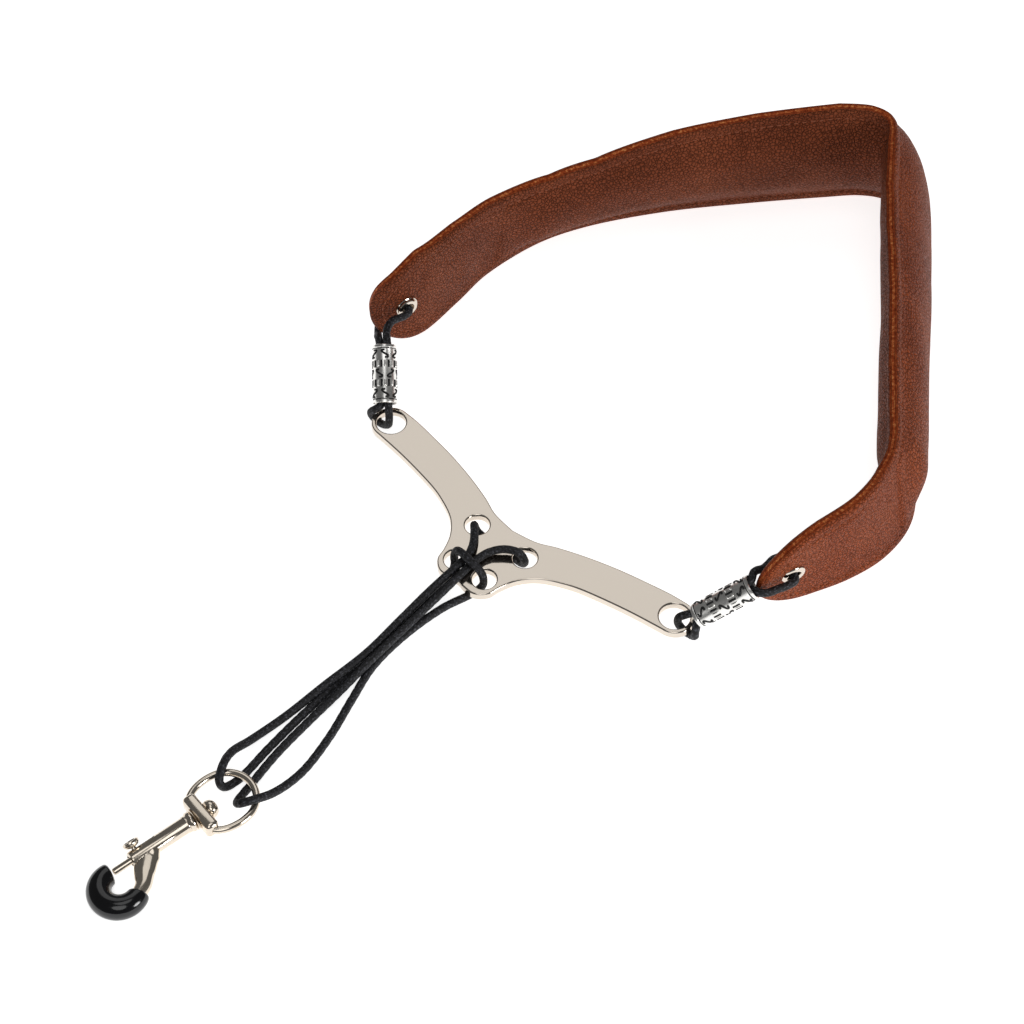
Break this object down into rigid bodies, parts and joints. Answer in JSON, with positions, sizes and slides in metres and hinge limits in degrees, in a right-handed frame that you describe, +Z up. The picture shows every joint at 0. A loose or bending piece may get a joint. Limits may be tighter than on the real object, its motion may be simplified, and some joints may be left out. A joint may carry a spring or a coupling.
{
  "type": "instrument neck strap",
  "caption": "Padded leather neck strap with cord loops, beads, a metal yoke plate, an adjustable cord and a swivel bolt snap hook for holding a wind instrument.",
  "frame": {"origin": "on the table under the middle of the strap without its cords, to 2 mm", "axes": "+Y from the hook to the back of the neck, +Z up off the table, +X to the strap's right"},
  "size_m": [0.1949, 0.4061, 0.0518],
  "materials": {
    "leather": "pebble-grained, satin",
    "lining": "pebble-grained, satin",
    "board": "cut edge, matt",
    "foam": "matt foam, hidden",
    "cord": "braided, black with grey flecks",
    "nickel": "polished, warm nickel",
    "bead_silver": "polished with dark recesses",
    "spring_steel": "bright wire",
    "sleeve_rubber": "glossy black"
  },
  "bodies": {
    "neck_band": {"band_outer_leather": "leather", "band_lining": "lining", "band_core": "board", "band_outer_pad": "foam", "band_inner_pad": "foam", "eyelet_left": "nickel", "eyelet_left_washer": "nickel", "eyelet_right": "nickel", "eyelet_right_washer": "nickel", "loop_cord_left": "cord", "loop_cord_right": "cord"},
    "bead_left_body": {"bead_left": "bead_silver"},
    "bead_right_body": {"bead_right": "bead_silver"},
    "yoke": {"yoke_plate": "nickel"},
    "cord": {"main_cord": "cord"},
    "ring": {"swivel_ring": "nickel"},
    "hook": {"hook_body": "nickel", "swivel_rivet": "nickel", "swivel_collar": "nickel", "hook_sleeve": "sleeve_rubber", "bolt_spring": "spring_steel"},
    "bolt": {"bolt_plunger": "nickel", "thumb_knob": "nickel"}
  },
  "joints": [
    {"name": "bead_slide_left", "type": "slide", "parent": "neck_band", "child": "bead_left_body", "axis": [-0.5681, 0.6224, 0.5384], "range_m": [-0.001, 0.0015], "deforming": ["loop_cord_left"]},
    {"name": "bead_slide_right", "type": "slide", "parent": "neck_band", "child": "bead_right_body", "axis": [0.5123, 0.6674, 0.5405], "range_m": [-0.0015, 0], "deforming": ["loop_cord_right"]},
    {"name": "yoke_swing", "type": "hinge", "parent": "neck_band", "child": "yoke", "pos_m": [0, -0.0074, 0.0045], "axis": [-1, 0, 0], "range_deg": [0, 45], "deforming": ["loop_cord_left", "loop_cord_right"]},
    {"name": "length_adjust", "type": "slide", "parent": "yoke", "child": "cord", "axis": [0, 1, 0], "range_m": [0, 0.05], "deforming": ["main_cord"]},
    {"name": "ring_swing", "type": "hinge", "parent": "cord", "child": "ring", "pos_m": [0.00285, -0.14178, 0.0041], "axis": [-0.9848, 0.1736, 0], "range_deg": [0, 75], "deforming": ["main_cord"]},
    {"name": "hook_swivel", "type": "hinge", "parent": "ring", "child": "hook", "pos_m": [-0.0004, -0.1602, 0.0041], "axis": [0.1736, 0.9848, 0], "continuous": true},
    {"name": "bolt_slide", "type": "slide", "parent": "hook", "child": "bolt", "axis": [0.1736, 0.9848, 0], "range_m": [0, 0.006], "stiffness_N_per_m": 150, "springref_m": -0.002, "deforming": ["bolt_spring"]}
  ]
}
